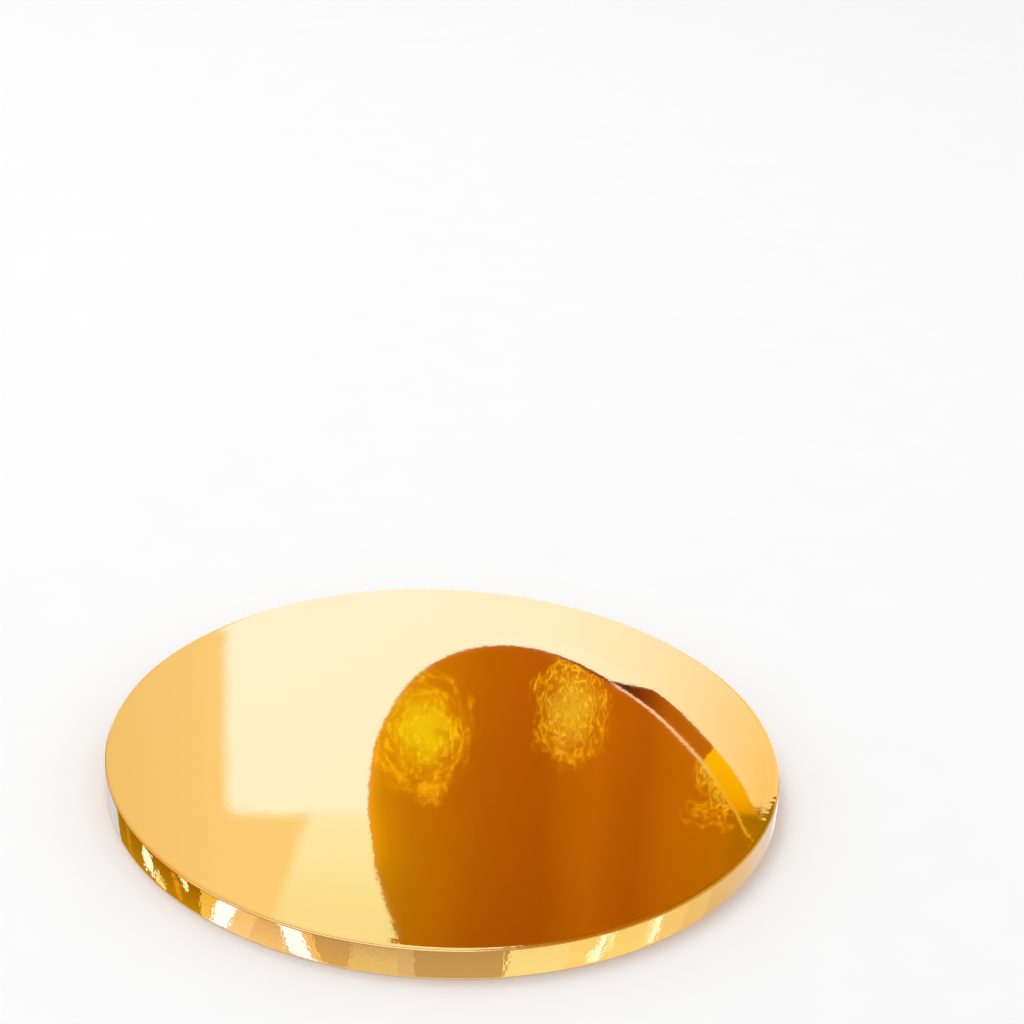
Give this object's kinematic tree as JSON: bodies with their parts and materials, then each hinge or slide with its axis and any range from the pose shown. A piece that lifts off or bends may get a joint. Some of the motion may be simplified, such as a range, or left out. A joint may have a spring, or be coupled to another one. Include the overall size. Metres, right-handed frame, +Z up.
{
  "type": "cake board",
  "caption": "Thick round cake board with a mirror-gold foil face, a smooth foil-wrapped edge and a plain paper underside.",
  "frame": {"origin": "centre of the underside, on the surface that the board stands on", "axes": "+Z up through the thickness, out of the foil face"},
  "size_m": [0.254, 0.254, 0.012],
  "materials": {
    "gold_foil": "polished",
    "core_card": "matte",
    "white_paper": "matte"
  },
  "bodies": {
    "root": {"core_board": "core_card", "edge_strip": "gold_foil", "face_foil": "gold_foil", "base_paper": "white_paper"}
  },
  "joints": []
}
